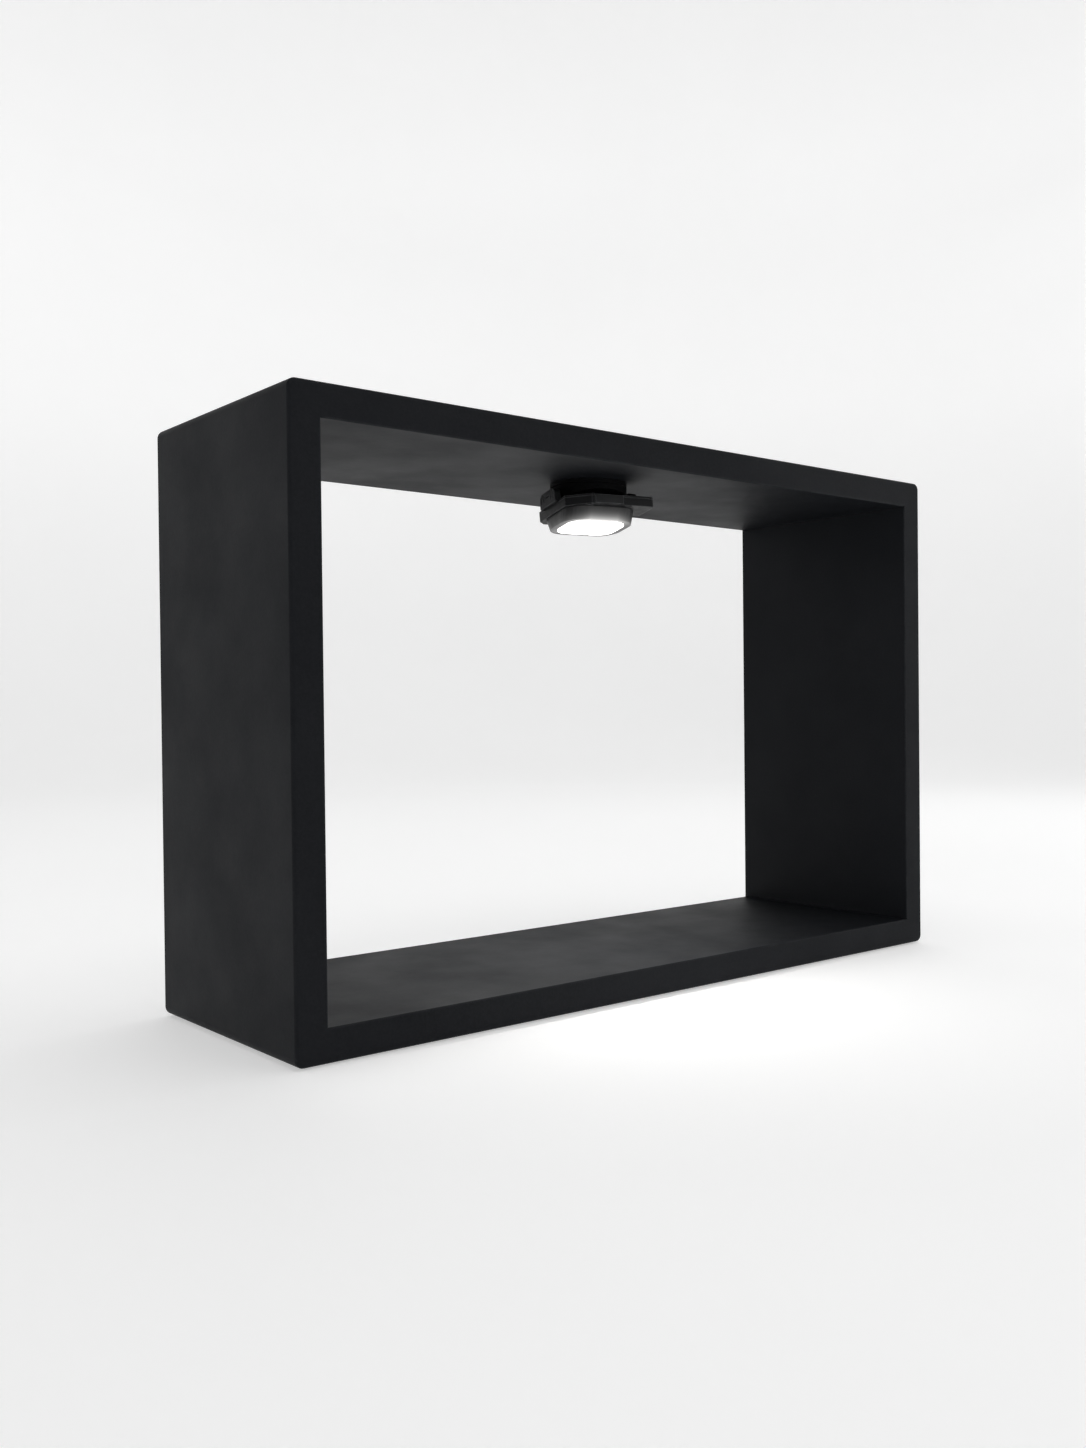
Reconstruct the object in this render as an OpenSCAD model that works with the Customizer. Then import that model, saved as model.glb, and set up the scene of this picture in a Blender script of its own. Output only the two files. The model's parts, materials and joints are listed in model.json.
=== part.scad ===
// Open display frame with a small battery lamp under its top board.
// Units are millimetres. X runs along the frame, -Y is the front and Z is up.
// The origin is on the surface that the feet stand on, under the middle of the frame.

/* [Frame] */
// Outside width of the frame
frame_w = 430; // [360:5:520]
// Outside height of the boards, without the feet
frame_h = 280; // [220:5:360]
// Depth of the boards, front to back
frame_d = 130; // [100:5:180]
// Thickness of each board
board_t = 15; // [15:0.5:18]
// Radius of the four outer corners, seen from the front
corner_r = 4; // [2.5:0.5:6]
// Rounding of the long outer edges
edge_r = 1.5; // [0.8:0.1:2]
// Rounding of the long inner edges
inner_r = 0.6; // [0.4:0.1:1]

/* [Feet and dowels] */
// Diameter of each rubber foot
foot_d = 14; // [10:1:20]
// How far the feet stand out under the bottom board
foot_proud = 0.8; // [0.5:0.1:1.5]
// Diameter of the mitre dowels
dowel_d = 6; // [5:0.5:6]
// Length of the mitre dowels
dowel_len = 18; // [14:1:18]

/* [Lamp] */
// Place of the lamp along the top board, from its middle
lamp_x = -6; // [-100:1:100]
// Place of the lamp from the middle of the frame towards the back
lamp_y = -10; // [-20:1:20]
// Diameter of the round base
base_d = 41; // [41:0.5:42]
// Turn of the lamp about the vertical at rest, clockwise from above
pan_rest = 14; // [-180:1:180]
// Tip of the lamp head at rest, with its rear edge down
tilt_rest = 8; // [-18:1:18]
// Furthest tip of the head to either side of level
tilt_max = 18; // [12:1:18]
// Width of the glowing window
window_w = 33; // [30:0.2:33]
// Depth of the glowing window
window_d = 24.4; // [22:0.2:24.4]

/* [Hidden] */
$fn = 64;
FINE = 96;
HULL_FN = 32;
OVER = 1;            // how far a cutting shape runs past what it cuts

// Frame
half_w = frame_w / 2;
floor_z = foot_proud + board_t;
ceiling_z = foot_proud + frame_h - board_t;
mid_z = foot_proud + frame_h / 2;
window = [window_w, window_d];
window_r = 7.4;

// Feet
foot_t = 2;
foot_x = half_w - 24;
foot_y = frame_d / 2 - 18;
foot_gap = 0.1;

// Dowels: two at each mitre, square to it
dowel_y = frame_d * 0.27;
dowel_in = 6.5;      // from the inner corner, along the mitre
dowel_fit = 0.05;    // radial room for glue
dowel_spare = 0.5;   // room past each end
dowel_chamfer = 0.8;

// Lamp base, measured down from the ceiling
plate_t = 2;
glide_t = 0.3;
axis_drop = 7.8;     // tilt axis under the ceiling
swivel_top = plate_t + glide_t;
swivel_low = axis_drop + 3.5;
base_r = base_d / 2;
flat_x = 19.8;       // flats on the swivel's sides, where the ears turn

// Mount plate and its wood screws
screw_x = 12.5;
screw_r = 1.5;
screw_head_r = 3;
screw_head_h = 1.7;
screw_reach = 8;
screw_tip = 2.5;

// Pan pivot
insert_r = 3;
insert_flange_r = 4.5;
insert_flange_t = 0.8;
insert_up = 7;
bolt_r = 2;
shoulder_r = 2.5;
bolt_head_r = 4.25;
bolt_head_t = 1.6;
bolt_top = 5.5;      // how far the thread goes up into the insert
washer_t = 0.4;
glide_r_out = 18;
glide_r_in = 6;
web_low = 7.9;       // underside of the swivel's web, where the washer bears

// Room between parts that fit one another
run = 0.05;          // running fit
clear = 0.1;         // close fit
loose = 0.2;         // loose fit

// Tilt pins and washers
pin_r = 1.5;
pin_in = 13;
pin_out = 23.2;
tilt_washer_r = 4;
ear_in = 21.2;
ear_out = 24.6;
ear_half = 9;
ear_top = 2.6;
ear_r = 3.5;
groove_at = [-7, -4.2, 4.2, 7];   // ribs are what is left between the grooves

// Head, measured from the tilt axis
shell_top = -4.1;
shell_low = -5.2;
frame_low = -9.5;
bezel_low = -15.8;
bezel_floor = 0.8;   // thickness of the bezel around the window
bezel_top = [41.6, 37.4];
bezel_bottom = [41, 31];
bezel_r_top = 11;
bezel_r_bottom = 10.5;
cavity = [36, 32];
cavity_r = 7;
seat = [36, 28]; // the lower cavity, which holds the lens
seat_r = 9.2;
head_front = -23;
head_rear = 19.5;
side_left = -22.2;
side_right = 20.9;
tab_x = 26.8;        // end of the finger tab

// Head screws
screw_at = [19.3, 12.8];
head_screw_r = 0.75;
head_screw_cap_r = 1.2;
head_screw_cap_t = 0.6;
head_screw_low = -8.6;

// Boards and parts inside the head
board = [35.6, 31.6];
board_r = 6.8;
pcb_top = -9.1;
pcb_low = -10.1;
lens = [35.6, 27.6];
lens_r = 9;
lens_plate_top = -13.9;
lens_plate_low = -14.7;
lens_face = -16.1;
battery_size = [26, 25.5, 3.6];
battery_r = 1;
battery_y = -0.15;
chip_gap = 0.6;      // from the cell to the chips beside it

// Power button
button_w = 16.4;
button_top = -4.4;
button_low = -9;
button_face = -23.3;
button_back = -17.2;
button_panel_back = -19.6;   // the visible panel ends here, its narrower tongue runs on to the switch
button_wing = 1.1;   // width and depth of the wings that keep the button in
button_gap = 0.2;
button_travel = 0.8;
pocket_y = -18.4;
switch_back = -13.4;
switch_front = -15.7;
switch_w = 5;
switch_h = 2.4;
plunger_r = 0.7;
plunger_len = 2.4;

// Charging socket
usb_w = 9;
usb_h = 3.1;
usb_len = 6.3;
usb_gap = 0.1;

// ---- Places ----

// The fixed part of the lamp: origin on the ceiling, under the middle of the mount plate
module at_ceiling() {
    translate([lamp_x, lamp_y, ceiling_z]) children();
}

// Turned with the swivel
module at_swivel() {
    at_ceiling() rotate([0, 0, -pan_rest]) children();
}

// Turned and tipped with the head: origin in the middle of the tilt axis
module at_head() {
    at_swivel() translate([0, 0, -axis_drop]) rotate([-tilt_rest, 0, 0]) children();
}

// ---- Shared shapes ----

module rounded_square(size, r) {
    square([size[0], size[1] - 2 * r], center = true);
    square([size[0] - 2 * r, size[1]], center = true);
    for (x = [-1, 1], y = [-1, 1])
        translate([x * (size[0] / 2 - r), y * (size[1] / 2 - r)]) circle(r);
}

// A prism of its 2D children between two heights
module between(low, high) {
    translate([0, 0, low]) linear_extrude(high - low) children();
}

module ring(r_out, r_in, low, high) {
    between(low, high) difference() {
        circle(r_out);
        circle(r_in);
    }
}

// Cross-shaped recess of a screw head, cut upwards from z = 0: length, width and depth
module cross_recess(size) {
    for (a = [0, 90])
        rotate([0, 0, a]) translate([0, 0, (size[2] - OVER) / 2])
            cube(size + [0, 0, OVER], center = true);
}

// ---- Frame boards ----

// Cross-section of a board: inner side at y = 0, outer side at y = board_t
module board_section() {
    half_d = frame_d / 2;
    translate([-half_d, inner_r]) square([frame_d, board_t - inner_r - edge_r]);
    translate([-half_d + edge_r, inner_r]) square([frame_d - 2 * edge_r, board_t - inner_r]);
    translate([-half_d + inner_r, 0]) square([frame_d - 2 * inner_r, board_t - edge_r]);
    for (s = [-1, 1]) {
        translate([s * (half_d - edge_r), board_t - edge_r]) circle(edge_r);
        translate([s * (half_d - inner_r), inner_r]) circle(inner_r);
    }
}

// A straight length of board along X, with its inner face at z = 0
module slab(length) {
    rotate([90, 0, 90]) linear_extrude(length, center = true) board_section();
}

// The rounded outer corner, as a rod along Y with rounded rims
module corner_rod() {
    rotate([90, 0, 0]) rotate_extrude($fn = FINE) {
        translate([0, -frame_d / 2]) square([corner_r - edge_r, frame_d]);
        translate([0, -frame_d / 2 + edge_r]) square([corner_r, frame_d - 2 * edge_r]);
        for (s = [-1, 1])
            translate([corner_r - edge_r, s * (frame_d / 2 - edge_r)])
                intersection() {
                    circle(edge_r);
                    translate([0, -edge_r]) square([edge_r, 2 * edge_r]);
                }
    }
}

// Wedge that keeps the material between the two mitres of a board
module mitre_wedge(length) {
    top = board_t + OVER;
    rotate([90, 0, 0]) linear_extrude(frame_d + 2 * OVER, center = true)
        polygon([
            [-length / 2 - OVER, top], [length / 2 + OVER, top],
            [length / 2 - board_t - OVER, -OVER], [-length / 2 + board_t + OVER, -OVER]
        ]);
}

// Places its children at the dowels of one mitre, in the board's own frame.
// The children's +Z axis points into the board, and z = 0 lies on the mitre.
module at_mitre_dowels(length, side) {
    along = dowel_in / sqrt(2);
    for (y = [-dowel_y, dowel_y])
        translate([side * (length / 2 - board_t + along), y, along])
            rotate([0, -side * 45, 0]) children();
}

// One mitred board: inner face at z = 0, outer face at z = board_t
module mitred_board(length) {
    stub = board_t + 2 * OVER;
    difference() {
        intersection() {
            union() {
                slab(length - 2 * corner_r);
                for (s = [-1, 1]) {
                    translate([s * (length / 2 - corner_r), 0, board_t - corner_r]) corner_rod();
                    translate([s * (length / 2 - board_t), 0, board_t - corner_r - stub / 2])
                        rotate([0, s * 90, 0]) slab(stub);
                }
            }
            mitre_wedge(length);
        }
        for (s = [-1, 1])
            at_mitre_dowels(length, s)
                translate([0, 0, -OVER])
                    cylinder(r = dowel_d / 2 + dowel_fit, h = dowel_len / 2 + dowel_spare + OVER);
    }
}

module place_top() { translate([0, 0, ceiling_z]) children(); }
module place_bottom() { translate([0, 0, floor_z]) rotate([180, 0, 0]) children(); }
module place_left() { translate([-half_w + board_t, 0, mid_z]) rotate([0, -90, 0]) children(); }
module place_right() { translate([half_w - board_t, 0, mid_z]) rotate([0, 90, 0]) children(); }

module top_board() {
    color([0.045, 0.047, 0.05]) difference() {
        place_top() mitred_board(frame_w);
        at_ceiling() {
            for (s = [-1, 1])
                translate([s * screw_x, 0, -OVER])
                    cylinder(r = screw_r + run, h = screw_reach + screw_tip + loose + OVER);
            translate([0, 0, -OVER]) cylinder(r = insert_r + clear, h = insert_up + loose + OVER);
        }
    }
}

module bottom_board() {
    color([0.045, 0.047, 0.05]) difference() {
        place_bottom() mitred_board(frame_w);
        for (x = [-1, 1], y = [-1, 1])
            translate([x * foot_x, y * foot_y, foot_proud - OVER])
                cylinder(r = foot_d / 2 + foot_gap, h = foot_t - foot_proud + OVER);
    }
}

module left_board() {
    color([0.045, 0.047, 0.05]) place_left() mitred_board(frame_h);
}

module right_board() {
    color([0.045, 0.047, 0.05]) place_right() mitred_board(frame_h);
}

// ---- Dowels and feet ----

module dowel() {
    straight = dowel_len / 2 - dowel_chamfer;
    translate([0, 0, -straight]) cylinder(d = dowel_d, h = 2 * straight);
    for (s = [0, 180])
        rotate([s, 0, 0]) translate([0, 0, straight])
            cylinder(d1 = dowel_d, d2 = dowel_d - 2 * dowel_chamfer, h = dowel_chamfer);
}

module top_dowels(side) {
    color([0.8, 0.62, 0.4]) place_top() at_mitre_dowels(frame_w, side) dowel();
}

// The bottom board is turned over about X, which leaves left and right as they are
module bottom_dowels(side) {
    color([0.8, 0.62, 0.4]) place_bottom() at_mitre_dowels(frame_w, side) dowel();
}

module foot(x, y) {
    rim = 0.6;
    color([0.06, 0.06, 0.06]) translate([x * foot_x, y * foot_y, 0]) rotate_extrude() {
        square([foot_d / 2 - rim, foot_t]);
        translate([0, rim]) square([foot_d / 2, foot_t - rim]);
        translate([foot_d / 2 - rim, rim]) circle(rim);
    }
}

// ---- Lamp base ----

module mount_plate() {
    color([0.05, 0.05, 0.055]) at_ceiling() difference() {
        translate([0, 0, -plate_t]) cylinder(r = base_r, h = plate_t, $fn = FINE);
        for (s = [-1, 1]) translate([s * screw_x, 0, 0]) {
            translate([0, 0, -plate_t - OVER]) cylinder(r = screw_r + loose, h = plate_t + 2 * OVER);
            translate([0, 0, -plate_t])
                cylinder(r1 = screw_head_r + clear, r2 = screw_r + clear, h = screw_head_h);
        }
        translate([0, 0, -plate_t - OVER]) cylinder(r = insert_r + run, h = plate_t + 2 * OVER);
        translate([0, 0, -insert_flange_t])
            cylinder(r = insert_flange_r + clear, h = insert_flange_t + OVER);
    }
}

module mount_screws() {
    tip_r = 0.2;
    recess = [3.2, 0.7, 1.1];
    color([0.7, 0.7, 0.72]) at_ceiling() for (s = [-1, 1]) translate([s * screw_x, 0, 0])
        difference() {
            union() {
                translate([0, 0, -plate_t]) cylinder(r1 = screw_head_r, r2 = screw_r, h = screw_head_h);
                translate([0, 0, -plate_t + screw_head_h])
                    cylinder(r = screw_r, h = plate_t - screw_head_h + screw_reach);
                translate([0, 0, screw_reach]) cylinder(r1 = screw_r, r2 = tip_r, h = screw_tip);
            }
            translate([0, 0, -plate_t]) cross_recess(recess);
        }
}

// Brass insert: its flange sits in the plate's upper face and its barrel in the board
module pivot_insert() {
    color([0.8, 0.62, 0.25]) at_ceiling() {
        ring(insert_flange_r, bolt_r + run, -insert_flange_t, 0);
        ring(insert_r, bolt_r + run, -plate_t + loose, insert_up);
    }
}

module pivot_bolt() {
    head_top = -web_low - washer_t;
    recess = [4.4, 0.9, 1];
    color([0.72, 0.72, 0.74]) at_ceiling() difference() {
        union() {
            translate([0, 0, head_top - bolt_head_t]) cylinder(r = bolt_head_r, h = bolt_head_t);
            translate([0, 0, head_top]) cylinder(r = shoulder_r, h = -head_top - plate_t);
            translate([0, 0, -plate_t]) cylinder(r = bolt_r, h = plate_t + bolt_top);
        }
        translate([0, 0, head_top - bolt_head_t]) cross_recess(recess);
    }
}

module wave_washer() {
    color([0.75, 0.75, 0.76]) at_ceiling()
        ring(bolt_head_r, shoulder_r + run, -web_low - washer_t, -web_low);
}

module glide_washer() {
    color([0.92, 0.92, 0.9]) at_ceiling() ring(glide_r_out, glide_r_in, -swivel_top, -plate_t);
}

// Side view of the room that the head leaves above it at both ends of its tilt
module swivel_roof() {
    slack = 0.3;
    reach = base_r + OVER;
    gap = -shell_top - slack;
    edge_z = (reach * sin(tilt_max) - gap) / cos(tilt_max) - axis_drop;
    flat_y = (gap - (swivel_low - axis_drop) * cos(tilt_max)) / sin(tilt_max);
    polygon([
        [-reach, 0], [-reach, edge_z], [-flat_y, -swivel_low],
        [flat_y, -swivel_low], [reach, edge_z], [reach, 0]
    ]);
}

module swivel_base() {
    head_room = 0.45;    // around the bolt's head
    color([0.05, 0.05, 0.055]) at_swivel() difference() {
        intersection() {
            translate([0, 0, -swivel_low]) cylinder(r = base_r, h = swivel_low - swivel_top, $fn = FINE);
            translate([-flat_x, -base_d, -base_d]) cube([2 * flat_x, 2 * base_d, 2 * base_d]);
            rotate([90, 0, 90]) linear_extrude(base_d + 2 * OVER, center = true) swivel_roof();
        }
        translate([0, 0, -swivel_low - OVER]) cylinder(r = shoulder_r + run, h = swivel_low + OVER);
        translate([0, 0, -swivel_low - OVER])
            cylinder(r = bolt_head_r + head_room, h = swivel_low - web_low + OVER);
        for (s = [-1, 1])
            translate([s * pin_in, 0, -axis_drop]) rotate([0, s * 90, 0])
                cylinder(r = pin_r, h = flat_x - pin_in + OVER);
    }
}

// Steel pin pressed into the swivel, with a domed end in the ear
module tilt_pin(side) {
    dome = 0.5;
    color([0.75, 0.75, 0.77]) at_swivel()
        translate([side * pin_in, 0, -axis_drop]) rotate([0, side * 90, 0]) {
            cylinder(r = pin_r, h = pin_out - pin_in - dome);
            translate([0, 0, pin_out - pin_in - dome])
                cylinder(r1 = pin_r, r2 = pin_r - dome, h = dome);
        }
}

module tilt_washer(side) {
    color([0.08, 0.08, 0.08]) at_swivel()
        translate([side * flat_x, 0, -axis_drop]) rotate([0, side * 90, 0])
            ring(tilt_washer_r, pin_r + run, 0, ear_in - flat_x - clear);
}

// ---- Lamp head ----

// Plan of the head, with the finger tab at its front right corner
module head_plan() {
    cut = [12, 7.5];     // chamfer at the front left corner
    tip_r = 2;
    tab_back = -6;
    corner = 4;
    difference() {
        polygon([
            [side_left + cut[0], head_front], [tab_x, head_front], [tab_x, tab_back],
            [side_right, tab_back], [side_right, head_rear - corner],
            [side_right - corner, head_rear], [side_left + corner, head_rear],
            [side_left, head_rear - corner], [side_left, head_front + cut[1]]
        ]);
        translate([tab_x - tip_r, head_front + tip_r]) difference() {
            translate([0, -tip_r - OVER]) square(tip_r + OVER);
            circle(tip_r);
        }
    }
}

// Ear seen from the side: y to the right and z up, around the tilt axis
module ear_plan() {
    translate([-ear_half, shell_low]) square([2 * ear_half, ear_top - ear_r - shell_low]);
    translate([-ear_half + ear_r, 0]) square([2 * (ear_half - ear_r), ear_top]);
    for (s = [-1, 1]) translate([s * (ear_half - ear_r), ear_top - ear_r]) circle(ear_r);
}

module at_head_screws() {
    for (x = [-1, 1], y = [-1, 1]) translate([x * screw_at[0], y * screw_at[1], 0]) children();
}

module back_shell() {
    groove_w = 0.9;
    groove_depth = 0.5;
    groove_len = ear_top - shell_top - 2;
    notch = button_w + 2 * button_gap;
    color([0.05, 0.052, 0.055]) at_head() difference() {
        union() {
            between(shell_low, shell_top) head_plan();
            between(shell_low, shell_top)
                square([2 * ear_out, 2 * ear_half], center = true);
            for (s = [-1, 1])
                translate([s * (ear_in + ear_out) / 2, 0, 0]) rotate([90, 0, 90])
                    linear_extrude(ear_out - ear_in, center = true) ear_plan();
        }
        for (s = [-1, 1]) {
            translate([s * (ear_in - OVER), 0, 0]) rotate([0, s * 90, 0])
                cylinder(r = pin_r + run, h = pin_out - ear_in + loose + OVER);
            for (y = groove_at)
                translate([s * ear_out, y, (shell_top + ear_top) / 2])
                    cube([2 * groove_depth, groove_w, groove_len], center = true);
        }
        translate([-notch / 2, head_front - OVER, shell_low - OVER])
            cube([notch, pocket_y - head_front + OVER, shell_top - shell_low + 2 * OVER]);
        at_head_screws() {
            between(shell_low - OVER, shell_top + OVER) circle(head_screw_r + loose);
            between(shell_top - head_screw_cap_t, shell_top + OVER)
                circle(head_screw_cap_r + clear);
        }
    }
}

module head_frame() {
    nub = [4, 0.8, 0.7];
    nub_x = 11.5;
    nub_in = 0.4;        // from the front edge
    sink = 0.01;
    web = 0.4;           // what is left under the button and the socket
    slot = button_w + 2 * button_gap;
    wide = slot + 2 * button_wing;
    slot_h = shell_low - frame_low;
    color([0.05, 0.052, 0.055]) at_head() {
        difference() {
            between(frame_low, shell_low) difference() {
                head_plan();
                rounded_square(cavity, cavity_r);
            }
            translate([-slot / 2, head_front - OVER, frame_low + web])
                cube([slot, -head_front - cavity[1] / 2 + 2 * OVER, slot_h]);
            translate([-wide / 2, pocket_y, frame_low + web])
                cube([wide, -pocket_y - cavity[1] / 2 + OVER, slot_h]);
            translate([-usb_w / 2 - usb_gap, cavity[1] / 2 - OVER, pcb_top])
                cube([usb_w + 2 * usb_gap, head_rear, usb_h + 2 * usb_gap]);
            at_head_screws()
                between(head_screw_low - loose, shell_low + OVER) circle(head_screw_r + run);
        }
        for (s = [-1, 1])
            translate([s * nub_x, head_front + nub_in + nub[1] / 2, frame_low + sink - nub[2] / 2])
                cube(nub, center = true);
    }
}

// Tapered dark frame around the window
module lens_bezel() {
    step = 0.2;
    color([0.07, 0.07, 0.075]) at_head() difference() {
        hull() {
            between(frame_low - step, frame_low)
                rounded_square(bezel_top, bezel_r_top, $fn = HULL_FN);
            between(bezel_low, bezel_low + step)
                rounded_square(bezel_bottom, bezel_r_bottom, $fn = HULL_FN);
        }
        between(pcb_low, frame_low + OVER) rounded_square(cavity, cavity_r);
        between(bezel_low + bezel_floor, pcb_low + OVER) rounded_square(seat, seat_r);
        between(bezel_low - OVER, frame_low) rounded_square(window + 2 * clear * [1, 1], window_r + clear);
    }
}

module lens_gasket() {
    color([0.85, 0.85, 0.85]) at_head()
        between(bezel_low + bezel_floor, lens_plate_low) difference() {
            rounded_square(lens, lens_r);
            rounded_square(window + 2 * loose * [1, 1], window_r + loose);
        }
}

module diffuser() {
    color([1, 1, 0.98]) at_head() {
        between(lens_plate_low, lens_plate_top) rounded_square(lens, lens_r);
        between(lens_face, lens_plate_low) rounded_square(window, window_r);
    }
}

module reflector_tray() {
    lip = 0.4;
    color([0.95, 0.95, 0.95]) at_head() between(lens_plate_top, pcb_low) difference() {
        rounded_square(lens, lens_r);
        rounded_square(window - 2 * lip * [1, 1], window_r - lip);
    }
}

module led_board() {
    color([0.9, 0.92, 0.9]) at_head() between(pcb_low, pcb_top) rounded_square(board, board_r);
}

module led_chips() {
    pitch = 6;
    chip = [2.8, 3.5, 0.65];
    color([0.98, 0.9, 0.5]) at_head()
        for (i = [-2:2], j = [-1:1])
            translate([i * pitch, j * pitch, pcb_low - chip[2] / 2])
                cube(chip, center = true);
}

// The charging chip, the driver chip and a coil, beside the cell
module driver_chips() {
    charger = [3, 3, 0.9];
    charger_y = -6;
    driver = [3, 4, 1.1];
    driver_y = 2;
    coil_r = 1.5;
    coil_h = 1.6;
    beside = battery_size[0] / 2 + chip_gap;
    color([0.1, 0.1, 0.1]) at_head() {
        translate([beside, charger_y, pcb_top]) cube(charger);
        translate([beside, driver_y, pcb_top]) cube(driver);
        translate([-beside - coil_r, 0, pcb_top]) cylinder(r = coil_r, h = coil_h);
    }
}

module battery() {
    color([0.75, 0.76, 0.78]) at_head()
        translate([0, battery_y, pcb_top])
            linear_extrude(battery_size[2]) rounded_square([battery_size[0], battery_size[1]], battery_r);
}

// Two short wires from the rear of the cell down to the board
module battery_leads() {
    wire_r = 0.45;
    bend = 1.15;
    wire_x = [8, 10.5];
    start_z = pcb_top + 1.9;
    color([0.8, 0.1, 0.08]) at_head() for (x = wire_x)
        translate([x, battery_y + battery_size[1] / 2, start_z - bend]) {
            rotate([0, -90, 0]) rotate_extrude(angle = 90) translate([bend, 0]) circle(wire_r);
            translate([0, bend, pcb_top - start_z + bend])
                cylinder(r = wire_r, h = start_z - bend - pcb_top);
        }
}

module usb_socket() {
    wall = 0.3;
    corner = 1.2;
    back_t = 1;
    tongue = [6.2, 0.7];
    rear = head_rear - loose;
    color([0.78, 0.78, 0.8]) at_head() translate([0, rear, pcb_top + usb_h / 2]) rotate([90, 0, 0]) {
        linear_extrude(usb_len) difference() {
            rounded_square([usb_w, usb_h], corner);
            rounded_square([usb_w - 2 * wall, usb_h - 2 * wall], corner - wall);
        }
        between(usb_len - back_t, usb_len) rounded_square([usb_w - wall, usb_h - wall], corner - wall / 2);
        between(back_t, usb_len) square(tongue, center = true);
    }
}

module tact_switch() {
    bore = button_back + plunger_len - switch_front + button_travel + clear;
    color([0.7, 0.7, 0.72]) at_head() difference() {
        translate([-switch_w / 2, switch_front, pcb_top])
            cube([switch_w, switch_back - switch_front, switch_h]);
        translate([0, switch_front - OVER, pcb_top + switch_h / 2]) rotate([-90, 0, 0])
            cylinder(r = plunger_r + clear, h = bore + OVER);
    }
}

module switch_plunger() {
    color([0.15, 0.15, 0.15]) at_head()
        translate([0, button_back, pcb_top + switch_h / 2]) rotate([-90, 0, 0])
            cylinder(r = plunger_r, h = plunger_len);
}

// Push bar in the middle of the head's front edge
module power_button() {
    tongue_top = shell_low - button_gap;
    color([0.06, 0.062, 0.066]) at_head() {
        translate([-button_w / 2, button_face, button_low])
            cube([button_w, button_panel_back - button_face, button_top - button_low]);
        translate([-button_w / 2, button_face, button_low])
            cube([button_w, button_back - button_face, tongue_top - button_low]);
        translate([-button_w / 2 - button_wing + button_gap / 2, button_back - button_wing, button_low])
            cube([button_w + 2 * button_wing - button_gap, button_wing, tongue_top - button_low]);
    }
}

module head_screws() {
    recess = [1.5, 0.4, 0.4];
    color([0.3, 0.3, 0.32]) at_head() at_head_screws() difference() {
        union() {
            between(shell_top - head_screw_cap_t, shell_top) circle(head_screw_cap_r);
            between(head_screw_low, shell_top - head_screw_cap_t) circle(head_screw_r);
        }
        translate([0, 0, shell_top]) rotate([180, 0, 0]) cross_recess(recess);
    }
}

// ---- Nodes ----

top_board();
bottom_board();
left_board();
right_board();
top_dowels(-1);  // top_left_dowels
top_dowels(1);  // top_right_dowels
bottom_dowels(-1);  // bottom_left_dowels
bottom_dowels(1);  // bottom_right_dowels
foot(-1, -1);  // front_left_foot
foot(1, -1);  // front_right_foot
foot(-1, 1);  // rear_left_foot
foot(1, 1);  // rear_right_foot
mount_plate();
mount_screws();
pivot_insert();
pivot_bolt();
wave_washer();
glide_washer();
swivel_base();
tilt_pin(-1);  // left_tilt_pin
tilt_pin(1);  // right_tilt_pin
tilt_washer(-1);  // left_tilt_washer
tilt_washer(1);  // right_tilt_washer
back_shell();
head_frame();
lens_bezel();
lens_gasket();
diffuser();
reflector_tray();
led_board();
led_chips();
driver_chips();
battery();
battery_leads();
usb_socket();
tact_switch();
switch_plunger();
power_button();
head_screws();
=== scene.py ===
"""Looks of the lit display frame: painted boards, the battery lamp and its light."""
import json
import math

import bmesh
import bpy
from mathutils import Matrix, Vector


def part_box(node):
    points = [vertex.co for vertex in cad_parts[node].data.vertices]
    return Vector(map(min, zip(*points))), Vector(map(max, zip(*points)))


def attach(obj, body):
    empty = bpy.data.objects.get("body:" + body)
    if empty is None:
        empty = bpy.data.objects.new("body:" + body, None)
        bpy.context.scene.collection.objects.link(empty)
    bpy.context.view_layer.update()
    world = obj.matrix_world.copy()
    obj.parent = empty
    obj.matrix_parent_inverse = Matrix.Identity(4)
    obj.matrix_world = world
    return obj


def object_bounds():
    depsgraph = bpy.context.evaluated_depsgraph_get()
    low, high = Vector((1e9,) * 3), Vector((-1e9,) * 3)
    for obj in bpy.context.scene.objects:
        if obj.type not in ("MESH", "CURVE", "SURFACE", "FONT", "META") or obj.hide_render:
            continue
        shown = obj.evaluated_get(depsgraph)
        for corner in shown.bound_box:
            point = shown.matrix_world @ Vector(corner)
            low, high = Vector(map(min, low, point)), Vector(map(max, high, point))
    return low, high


MM = 0.001

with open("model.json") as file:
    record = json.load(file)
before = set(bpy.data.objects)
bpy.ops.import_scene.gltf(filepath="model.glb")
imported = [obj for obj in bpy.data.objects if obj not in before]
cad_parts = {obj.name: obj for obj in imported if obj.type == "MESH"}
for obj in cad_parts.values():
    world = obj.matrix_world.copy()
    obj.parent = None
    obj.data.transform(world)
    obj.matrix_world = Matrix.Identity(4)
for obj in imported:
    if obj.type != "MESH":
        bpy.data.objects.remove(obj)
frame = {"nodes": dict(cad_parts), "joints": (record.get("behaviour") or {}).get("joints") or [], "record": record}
nodes = frame["nodes"]
cad_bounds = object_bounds()
joints = {joint["name"]: joint for joint in frame["joints"]}


# ---- Places, worked out from the frame ----

def head_matrix():
    """The lamp head's own axes: X along the tilt axis, Y the way the button is pushed."""
    x = Vector(joints["head_tilt"]["axis"]).normalized()
    y = Vector(joints["power_button_press"]["axis"]).normalized()
    z = x.cross(y)
    turn = Matrix((x, y, z)).transposed().to_4x4()
    return Matrix.Translation(Vector(joints["head_tilt"]["pos_m"])) @ turn


HEAD = head_matrix()


def lowest_in_head(node):
    """How far down a node reaches along the head's own Z axis."""
    into_head = HEAD.inverted()
    return min((into_head @ vertex.co).z for vertex in nodes[node].data.vertices)


# ---- Node helpers ----

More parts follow.
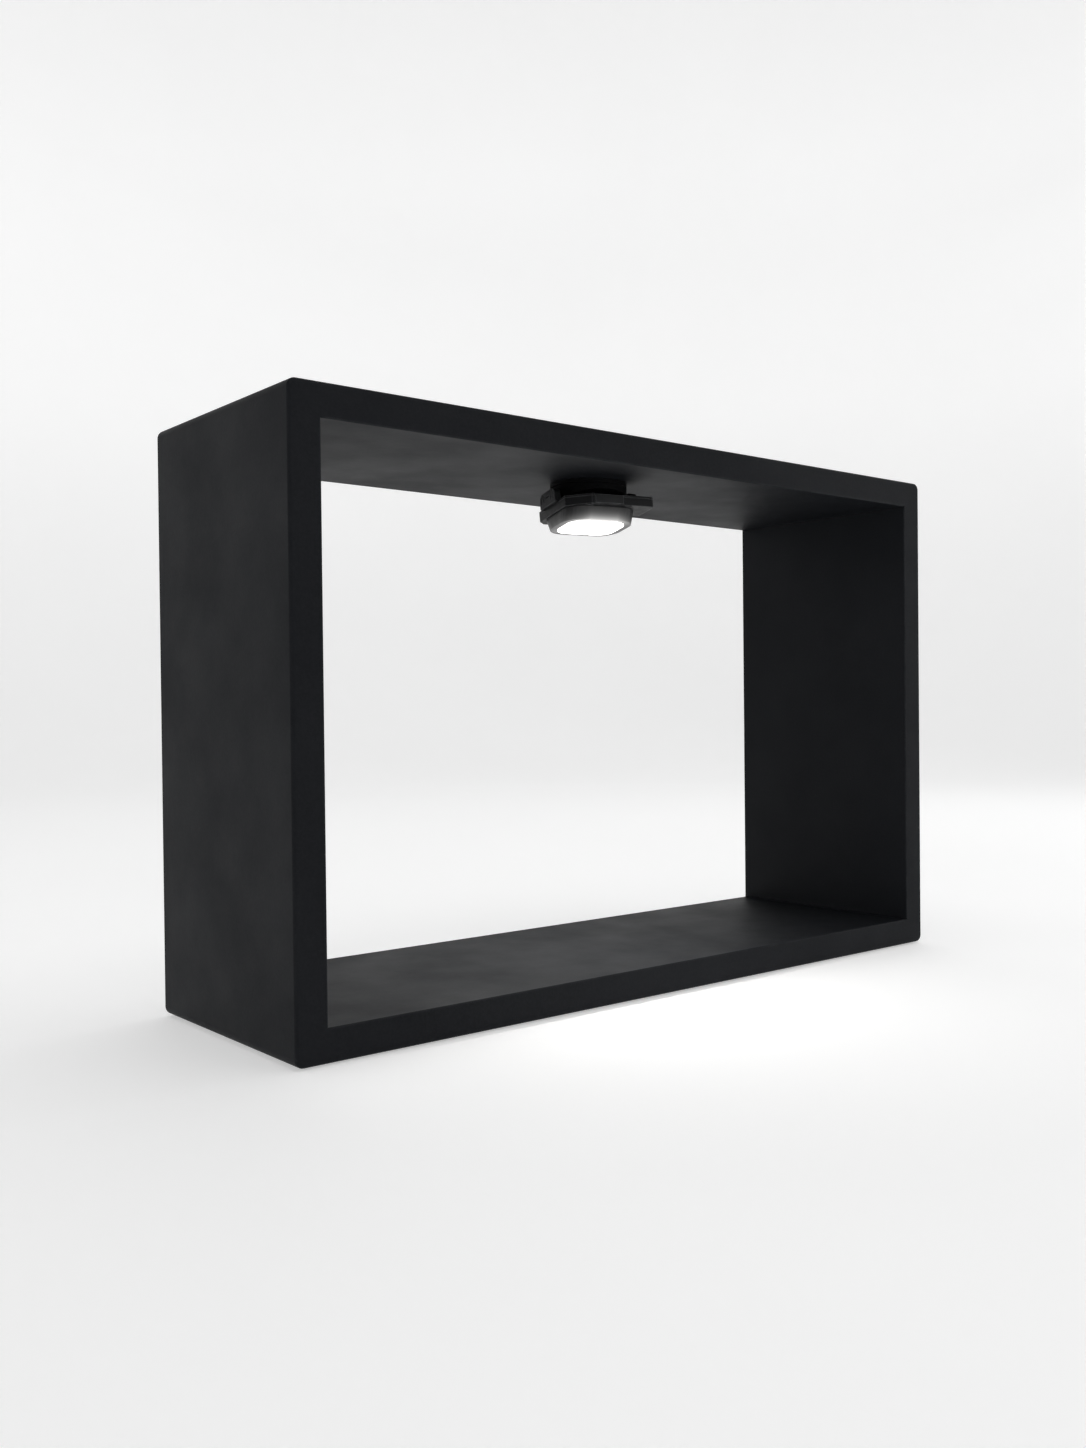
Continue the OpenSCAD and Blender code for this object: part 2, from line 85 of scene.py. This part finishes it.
class Shader:
    """A material whose nodes are added by short calls."""

    def __init__(self, name):
        self.material = bpy.data.materials.new(name)
        self.material.use_nodes = True
        self.tree = self.material.node_tree
        self.shader = self.tree.nodes["Principled BSDF"]

    def node(self, kind, **values):
        """A new node; each value goes to the input of that name, or else to the setting."""
        made = self.tree.nodes.new(kind)
        for key, value in values.items():
            if key in made.inputs:
                made.inputs[key].default_value = value
            else:
                setattr(made, key, value)
        return made

    def link(self, source, target):
        self.tree.links.new(source, target)

    def place(self):
        """Where a point is, in metres, before any joint moves."""
        return self.node("ShaderNodeTexCoord").outputs["Object"]

    def apart(self, vector):
        """The X, Y and Z outputs of a vector."""
        split = self.node("ShaderNodeSeparateXYZ")
        self.link(vector, split.inputs["Vector"])
        return split.outputs

    def noise(self, scale, detail=4.0, roughness=0.55, stretch=None):
        made = self.node("ShaderNodeTexNoise", Scale=scale, Detail=detail, Roughness=roughness)
        where = self.place()
        if stretch:
            mapping = self.node("ShaderNodeMapping", Scale=stretch)
            self.link(where, mapping.inputs["Vector"])
            where = mapping.outputs["Vector"]
        self.link(where, made.inputs["Vector"])
        return made.outputs["Fac"]

    def map(self, source, low, high, to_low=0.0, to_high=1.0):
        made = self.node("ShaderNodeMapRange")
        ends = (("From Min", low), ("From Max", high), ("To Min", to_low), ("To Max", to_high))
        for key, value in ends:
            made.inputs[key].default_value = value
        self.link(source, made.inputs["Value"])
        return made.outputs["Result"]

    def math(self, operation, *values):
        made = self.node("ShaderNodeMath", operation=operation)
        for index, value in enumerate(values):
            if isinstance(value, (int, float)):
                made.inputs[index].default_value = value
            else:
                self.link(value, made.inputs[index])
        return made.outputs["Value"]

    def mix(self, factor, a, b):
        """A colour from a to b; each of them is a colour or another node's output."""
        made = self.node("ShaderNodeMix", data_type="RGBA")
        sockets = {socket.identifier: socket for socket in (*made.inputs, *made.outputs)}
        for key, value in (("Factor_Float", factor), ("A_Color", a), ("B_Color", b)):
            if isinstance(value, tuple):
                sockets[key].default_value = (*value, 1.0)
            else:
                self.link(value, sockets[key])
        return sockets["Result_Color"]

    def edge(self, radius):
        """1 on edges sharper than the radius, 0 on flat ground."""
        bevel = self.node("ShaderNodeBevel", samples=4, Radius=radius)
        ground = self.node("ShaderNodeNewGeometry")
        dot = self.node("ShaderNodeVectorMath", operation="DOT_PRODUCT")
        self.link(bevel.outputs["Normal"], dot.inputs[0])
        self.link(ground.outputs["Normal"], dot.inputs[1])
        return self.map(dot.outputs["Value"], 0.99, 0.80)

    def rounded(self, radius):
        """A normal that rolls over sharp edges."""
        return self.node("ShaderNodeBevel", samples=6, Radius=radius).outputs["Normal"]

    def bump(self, heights, distance, strength, normal=None):
        made = self.node("ShaderNodeBump", Distance=distance, Strength=strength)
        self.link(heights, made.inputs["Height"])
        if normal is not None:
            self.link(normal, made.inputs["Normal"])
        self.link(made.outputs["Normal"], self.shader.inputs["Normal"])

    def set(self, **values):
        """Sets the shader's own inputs; an underscore in a name stands for a space."""
        for key, value in values.items():
            if isinstance(value, tuple):
                value = (*value, 1.0)
            self.shader.inputs[key.replace("_", " ")].default_value = value

    def colour(self, source):
        self.link(source, self.shader.inputs["Base Color"])

    def rough(self, source):
        self.link(source, self.shader.inputs["Roughness"])

    def emit(self, source):
        self.link(source, self.shader.inputs["Emission Strength"])


# ---- Materials ----

def off_the_mitres(s):
    """0 within a hair of the mitre planes, where the paint runs over the joint, 1 elsewhere."""
    right, top = cad_bounds[1][0], cad_bounds[1][2]
    centre = (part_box("bottom_board")[0].z + top) / 2
    at = s.apart(s.place())
    from_side = s.math("SUBTRACT", right, s.math("ABSOLUTE", at["X"]))
    level = s.math("ABSOLUTE", s.math("SUBTRACT", at["Z"], centre))
    from_level = s.math("SUBTRACT", top - centre, level)
    from_mitre = s.math("ABSOLUTE", s.math("SUBTRACT", from_side, from_level))
    return s.map(from_mitre, 0.5 * MM, 3.5 * MM)


def painted_board():
    """Matt black paint, sprayed on sanded fibreboard: mottled, with a fine stipple, and paler edges that are
    partly rubbed paint and partly a painted highlight.
    """
    dark = (0.0042, 0.0050, 0.0068)
    light = (0.0066, 0.0075, 0.0096)
    fleck = (0.0120, 0.0132, 0.0152)
    edge_highlight = (0.060, 0.063, 0.068)
    s = Shader("painted_board")
    cloud = s.map(s.noise(9.0, 5.0), 0.35, 0.65)
    specks = s.map(s.noise(900.0, 3.0), 0.35, 0.75)
    base = s.mix(s.math("MULTIPLY", specks, 0.45), s.mix(cloud, dark, light), fleck)
    # The paler edge colour is partly rubbed paint and partly a painted highlight along every board edge.
    wear_and_highlight = s.math("MULTIPLY", s.edge(1.3 * MM), s.map(s.noise(60.0), 0.35, 0.7, 0.25, 0.9))
    wear_and_highlight = s.math("MULTIPLY", wear_and_highlight, off_the_mitres(s))
    s.colour(s.mix(wear_and_highlight, base, edge_highlight))
    s.rough(s.map(s.noise(24.0, 6.0), 0.3, 0.7, 0.50, 0.62))
    s.set(Specular_IOR_Level=0.10)
    stipple = s.math("ADD", s.noise(1300.0, 2.0), s.math("MULTIPLY", s.noise(260.0, 3.0), 0.7))
    s.bump(stipple, 0.06 * MM, 0.55)
    return s.material


def moulded_plastic(name, shades, gloss=0.22, roughness=(0.42, 0.54)):
    """Black moulded plastic with a fine spark texture, and edges lightened as a painted highlight."""
    dark, light, edge = shades
    s = Shader(name)
    base = s.mix(s.map(s.noise(60.0), 0.35, 0.65), dark, light)
    # Edges lighter in colour: a painted highlight, broken up by noise.
    edge_highlight = s.math("MULTIPLY", s.edge(0.6 * MM), s.map(s.noise(240.0), 0.35, 0.7, 0.3, 1.0))
    s.colour(s.mix(edge_highlight, base, edge))
    s.rough(s.map(s.noise(300.0), 0.3, 0.7, *roughness))
    s.set(Specular_IOR_Level=gloss)
    s.bump(s.noise(3200.0, 2.0), 0.04 * MM, 0.6, s.rounded(0.5 * MM))
    return s.material


def metal(name, colour, roughness=(0.22, 0.38), stretch=(1.0, 1.0, 12.0)):
    """Metal with fine streaks, which run across the stretched direction."""
    s = Shader(name)
    streak = s.noise(700.0, 3.0, stretch=stretch)
    s.colour(s.mix(s.map(streak, 0.3, 0.7), tuple(0.8 * c for c in colour), colour))
    s.rough(s.map(streak, 0.3, 0.7, *roughness))
    s.set(Metallic=1.0)
    s.bump(streak, 0.02 * MM, 0.4)
    return s.material


def rubber(name, colour):
    """Dull rubber or foam with a little dust on it."""
    s = Shader(name)
    dust = s.map(s.noise(220.0, 5.0), 0.5, 0.8, 0.0, 0.5)
    s.colour(s.mix(dust, colour, tuple(min(1.0, 2.2 * c + 0.02) for c in colour)))
    s.rough(s.map(s.noise(500.0), 0.3, 0.7, 0.65, 0.85))
    s.bump(s.noise(2400.0, 3.0), 0.05 * MM, 0.6)
    return s.material


def beech():
    """Pale wood with a fine grain."""
    s = Shader("dowel_beech")
    grain = s.noise(90.0, 5.0, 0.6, stretch=(8.0, 1.0, 8.0))
    s.colour(s.mix(s.map(grain, 0.3, 0.7), (0.42, 0.26, 0.13), (0.66, 0.47, 0.28)))
    s.rough(s.map(grain, 0.3, 0.7, 0.55, 0.75))
    s.bump(grain, 0.08 * MM, 0.6)
    return s.material


def plain_plastic(name, colour, emission=0.0):
    """Smooth coloured plastic with a faint change of shade, which may give light."""
    s = Shader(name)
    shade = s.map(s.noise(400.0), 0.35, 0.65)
    s.colour(s.mix(shade, tuple(0.88 * c for c in colour), colour))
    s.rough(s.map(s.noise(900.0), 0.3, 0.7, 0.4, 0.55))
    s.bump(s.noise(1800.0, 2.0), 0.02 * MM, 0.4)
    s.set(Emission_Color=colour, Emission_Strength=emission)
    return s.material


def board_mask():
    """White solder mask with faint copper tracks beneath it."""
    s = Shader("circuit_board")
    cells = s.node("ShaderNodeTexVoronoi", feature="DISTANCE_TO_EDGE", Scale=260.0)
    s.link(s.place(), cells.inputs["Vector"])
    track = s.map(cells.outputs["Distance"], 0.04, 0.08, 1.0, 0.0)
    s.colour(s.mix(s.math("MULTIPLY", track, 0.35), (0.80, 0.82, 0.79), (0.55, 0.60, 0.50)))
    s.rough(s.map(s.noise(600.0), 0.3, 0.7, 0.35, 0.5))
    s.bump(track, 0.03 * MM, 0.6)
    return s.material


# The bezel's opening, along the head's X and Y
WINDOW_LENGTH = 33.0 * MM
WINDOW_WIDTH = 24.4 * MM
LENS_GLOW = 9.0
BEZEL_GLOW = 1.0
WARM_WHITE = (1.0, 0.985, 0.96)

# The bezel's glow fades over this height, and to each side from a start, over a reach
FADE_HEIGHT = 1.8 * MM
FADES = (
    ("X", 1, 8.0 * MM, 5.0 * MM),
    ("X", -1, 8.0 * MM, 5.0 * MM),
    ("Y", 1, WINDOW_WIDTH / 2, 1.2 * MM),
    ("Y", -1, WINDOW_WIDTH / 2, 7.0 * MM),
)


def head_place(s):
    """Where a point is along the head's own axes, in metres."""
    mapping = s.node("ShaderNodeMapping", vector_type="TEXTURE")
    mapping.inputs["Location"].default_value = HEAD.translation
    mapping.inputs["Rotation"].default_value = HEAD.to_euler("XYZ")
    s.link(s.place(), mapping.inputs["Vector"])
    return s.apart(mapping.outputs["Vector"])


def lit_lens():
    """Opal window: white and bright, a little dimmer towards its ends."""
    s = Shader("lens_opal")
    off_middle = s.math("ABSOLUTE", head_place(s)["X"])
    glow = s.map(off_middle, 4.0 * MM, WINDOW_LENGTH / 2, LENS_GLOW, 0.5 * LENS_GLOW)
    dots = s.map(s.noise(2200.0, 2.0), 0.3, 0.7, 0.96, 1.04)
    s.set(Base_Color=(0.9, 0.9, 0.88), Emission_Color=WARM_WHITE, Roughness=0.45)
    s.emit(s.math("MULTIPLY", glow, dots))
    s.bump(s.noise(2600.0, 2.0), 0.02 * MM, 0.4)
    return s.material


def lit_bezel():
    """Smoked bezel: the light behind it shows through around the window and fades up its sides."""
    dark = (0.007, 0.0074, 0.0082)
    light = (0.012, 0.0125, 0.0135)
    s = Shader("lamp_bezel")
    at = head_place(s)
    height = s.math("SUBTRACT", at["Z"], lowest_in_head("lens_bezel"))
    fade = s.math("DIVIDE", height, FADE_HEIGHT)
    for axis, side, start, reach in FADES:
        past = s.math("SUBTRACT", s.math("MULTIPLY", at[axis], side), start)
        fade = s.math("ADD", fade, s.math("DIVIDE", s.math("MAXIMUM", past, 0.0), reach))
    glow = s.math("POWER", math.e, s.math("MULTIPLY", fade, -1.0))
    s.colour(s.mix(s.map(s.noise(80.0), 0.35, 0.65), dark, light))
    s.set(Emission_Color=(1.0, 0.99, 0.97), Specular_IOR_Level=0.3)
    s.emit(s.math("MULTIPLY", glow, BEZEL_GLOW))
    s.rough(s.map(s.noise(300.0), 0.3, 0.7, 0.36, 0.48))
    s.bump(s.noise(3200.0, 2.0), 0.04 * MM, 0.5)
    return s.material


# Shades of each black plastic: dark, light, and the paler edge colour that is a painted highlight
CASING_SHADES = ((0.006, 0.0064, 0.0072), (0.010, 0.0106, 0.0116), (0.150, 0.153, 0.158))
# The mount's colours are a darker copy of the casing's: painted shade, where the mount plate and swivel base sit
# in the dark against the ceiling.
MOUNT_PAINTED_SHADE_COLOURS = ((0.002, 0.0022, 0.0026), (0.003, 0.0032, 0.0036), (0.012, 0.0122, 0.0126))

materials = {
    "painted_board": painted_board(),
    "dowel_beech": beech(),
    "foot_rubber": rubber("foot_rubber", (0.02, 0.02, 0.02)),
    "lamp_casing": moulded_plastic("lamp_casing", CASING_SHADES),
    "lamp_bezel": lit_bezel(),
    "button_plastic": moulded_plastic("button_plastic", CASING_SHADES, 0.4, (0.34, 0.46)),
    "screw_steel": metal("screw_steel", (0.62, 0.62, 0.63)),
    "black_screw": metal("black_screw", (0.07, 0.07, 0.075), (0.35, 0.5)),
    "insert_brass": metal("insert_brass", (0.75, 0.56, 0.25)),
    "washer_steel": metal("washer_steel", (0.55, 0.56, 0.58)),
    "glide_nylon": plain_plastic("glide_nylon", (0.82, 0.81, 0.76)),
    "tilt_rubber": rubber("tilt_rubber", (0.03, 0.03, 0.03)),
    "gasket_foam": rubber("gasket_foam", (0.6, 0.6, 0.6)),
    "lens_opal": lit_lens(),
    "tray_white": plain_plastic("tray_white", (0.9, 0.9, 0.9)),
    "circuit_board": board_mask(),
    "led_phosphor": plain_plastic("led_phosphor", (0.95, 0.85, 0.4), emission=4.0),
    "chip_black": plain_plastic("chip_black", (0.02, 0.02, 0.02)),
    "cell_foil": metal("cell_foil", (0.72, 0.73, 0.75), (0.3, 0.45), (1.0, 6.0, 1.0)),
    "lead_red": plain_plastic("lead_red", (0.55, 0.03, 0.02)),
    "socket_shell": metal("socket_shell", (0.66, 0.66, 0.68)),
    "switch_case": metal("switch_case", (0.55, 0.55, 0.57)),
}
# The mount plate and swivel base get this darker copy of the casing plastic: painted shade.
mount_painted_shade = moulded_plastic("mount_plastic_painted_shade", MOUNT_PAINTED_SHADE_COLOURS, 0.06, (0.55, 0.68))
painted_shade_finish = {"mount_plate": mount_painted_shade, "swivel_base": mount_painted_shade}
for part in frame["record"]["subparts"]:
    mesh = nodes[part["node"]].data
    mesh.materials.clear()
    mesh.materials.append(painted_shade_finish.get(part["node"], materials[part["material_slot"]]))


# ---- Stage, light and camera ----

# The camera's place from the middle of the bottom board's lower face, in metres, its angles in
# degrees and its lens in millimetres
CAMERA_PLACE = (-0.4676, -0.5313, 0.1457)
CAMERA_AZIMUTH = 39.42
CAMERA_ELEVATION = -0.73
CAMERA_ROLL = -0.59
CAMERA_LENS = 32.19

# How strongly the stage glows by itself: its ground near the camera and far from it, and its
# wall behind the object and behind the camera
NEAR_GLOW = 0.42
FAR_GLOW = 0.34
WALL_GLOW = 0.53
FRONT_GLOW = 0.0
WORLD_GLOW = 0.03

# The stage's radius, the radius of its bend and the height of its wall, in metres
STAGE_REACH = 2.6
STAGE_BEND = 0.9
STAGE_HEIGHT = 2.6
BEND_STEPS = 16
STAGE_SIDES = 72

# Each soft box's name, place, size and power, in metres and watts
SOFTBOXES = (
    ("key_right", (1.45, 0.10, 0.85), (1.1, 0.8), 2.5),
    ("front_right", (1.2, -1.4, 0.7), (1.2, 1.0), 2.0),
    ("top_soft", (-0.1, -0.5, 2.0), (1.6, 1.6), 11.0),
    ("back_soft", (0.9, 0.9, 2.1), (2.2, 1.6), 9.0),
)

# The light from the lamp's window: watts, metres, degrees, and how far it is under the window
LAMP_POWER = 0.10
LAMP_SIZE = (31 * MM, 22 * MM)
LAMP_SPREAD = 86
LAMP_DROP = 0.6 * MM


def add(name, data):
    made = bpy.data.objects.new(name, data)
    bpy.context.scene.collection.objects.link(made)
    return made


def stage_profile():
    """Radius and height of each ring of the stage: a flat floor, a bend and a wall."""
    flat = STAGE_REACH - STAGE_BEND
    angles = [math.pi / 2 * i / BEND_STEPS for i in range(BEND_STEPS + 1)]
    bend = [(flat + STAGE_BEND * math.sin(a), STAGE_BEND * (1 - math.cos(a))) for a in angles]
    return bend + [(STAGE_REACH, STAGE_HEIGHT)]


def stage_mesh():
    """A round floor that bends up into a wall all the way round."""
    mesh = bmesh.new()
    centre = mesh.verts.new((0, 0, 0))
    angles = [2 * math.pi * i / STAGE_SIDES for i in range(STAGE_SIDES)]
    rings = []
    for r, z in stage_profile():
        rings.append([mesh.verts.new((r * math.cos(a), r * math.sin(a), z)) for a in angles])
    for i in range(STAGE_SIDES):
        j = (i + 1) % STAGE_SIDES
        mesh.faces.new((centre, rings[0][i], rings[0][j]))
        for low, high in zip(rings, rings[1:]):
            mesh.faces.new((low[i], high[i], high[j], low[j]))
    for face in mesh.faces:
        face.smooth = True
    data = bpy.data.meshes.new("studio_floor")
    mesh.to_mesh(data)
    mesh.free()
    return data


def stage_paint():
    """Pale matt paint with a glow of its own, which depends on the way back, Y, and on height."""
    s = Shader("studio_floor")
    s.colour(s.mix(s.map(s.noise(3.0), 0.3, 0.7), (0.69, 0.69, 0.69), (0.71, 0.71, 0.71)))
    s.set(Roughness=0.7, Specular_IOR_Level=0.08, Emission_Color=(1.0, 1.0, 1.0))
    at = s.apart(s.place())
    ground = s.map(at["Y"], 0.1, 1.5, NEAR_GLOW, FAR_GLOW)
    on_the_wall = s.map(at["Y"], -0.8, 1.6, FRONT_GLOW - NEAR_GLOW, WALL_GLOW - FAR_GLOW)
    raised = s.map(at["Z"], 0.0, 1.5)
    s.emit(s.math("ADD", ground, s.math("MULTIPLY", on_the_wall, raised)))
    return s.material


def studio_floor():
    """The stage, turned so that its Y runs the way the camera looks."""
    made = add("studio_floor", stage_mesh())
    made.data.materials.append(stage_paint())
    made.rotation_euler.z = math.radians(-CAMERA_AZIMUTH)


def area_light(name, size, power):
    data = bpy.data.lights.new(name, "AREA")
    data.shape = "RECTANGLE"
    data.size, data.size_y = size
    data.energy = power
    return add(name, data)


def studio_lights():
    """Soft boxes that face the middle of the object, and a faint glow from all round."""
    centre = (cad_bounds[0] + cad_bounds[1]) / 2
    for name, place, size, power in SOFTBOXES:
        made = area_light(name, size, power)
        made.location = place
        made.rotation_euler = (centre - Vector(place)).to_track_quat("-Z", "Y").to_euler()
    world = bpy.data.worlds.new("studio")
    bpy.context.scene.world = world
    world.use_nodes = True
    background = world.node_tree.nodes["Background"]
    background.inputs["Color"].default_value = (1.0, 1.0, 1.0, 1.0)
    background.inputs["Strength"].default_value = WORLD_GLOW


def lamp_light():
    """The light that the window throws, from just under it."""
    made = area_light("lamp_light", LAMP_SIZE, LAMP_POWER)
    made.data.color = WARM_WHITE
    made.data.spread = math.radians(LAMP_SPREAD)
    under = Vector((0, 0, lowest_in_head("diffuser") - LAMP_DROP))
    made.matrix_world = Matrix.Translation(HEAD @ under) @ HEAD.to_3x3().to_4x4()
    made.visible_camera = False
    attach(made, "lamp_head")


def camera():
    """Level with the middle of the frame, in front of it and to its left."""
    data = bpy.data.cameras.new("camera")
    data.sensor_fit = "VERTICAL"
    data.sensor_height = 36.0
    data.lens = CAMERA_LENS
    data.clip_start = 0.02
    made = add("camera", data)
    place = Vector(CAMERA_PLACE) + Vector((0, 0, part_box("bottom_board")[0].z))
    angles = (CAMERA_AZIMUTH, CAMERA_ELEVATION, CAMERA_ROLL)
    azimuth, elevation, roll = (math.radians(degrees) for degrees in angles)
    level = math.cos(elevation)
    forward = Vector((math.sin(azimuth) * level, math.cos(azimuth) * level, math.sin(elevation)))
    turn = forward.to_track_quat("-Z", "Y").to_matrix().to_4x4()
    made.matrix_world = Matrix.Translation(place) @ turn @ Matrix.Rotation(roll, 4, "Z")
    bpy.context.scene.camera = made


studio_floor()
studio_lights()
lamp_light()
camera()
bpy.context.scene.view_settings.view_transform = "Standard"
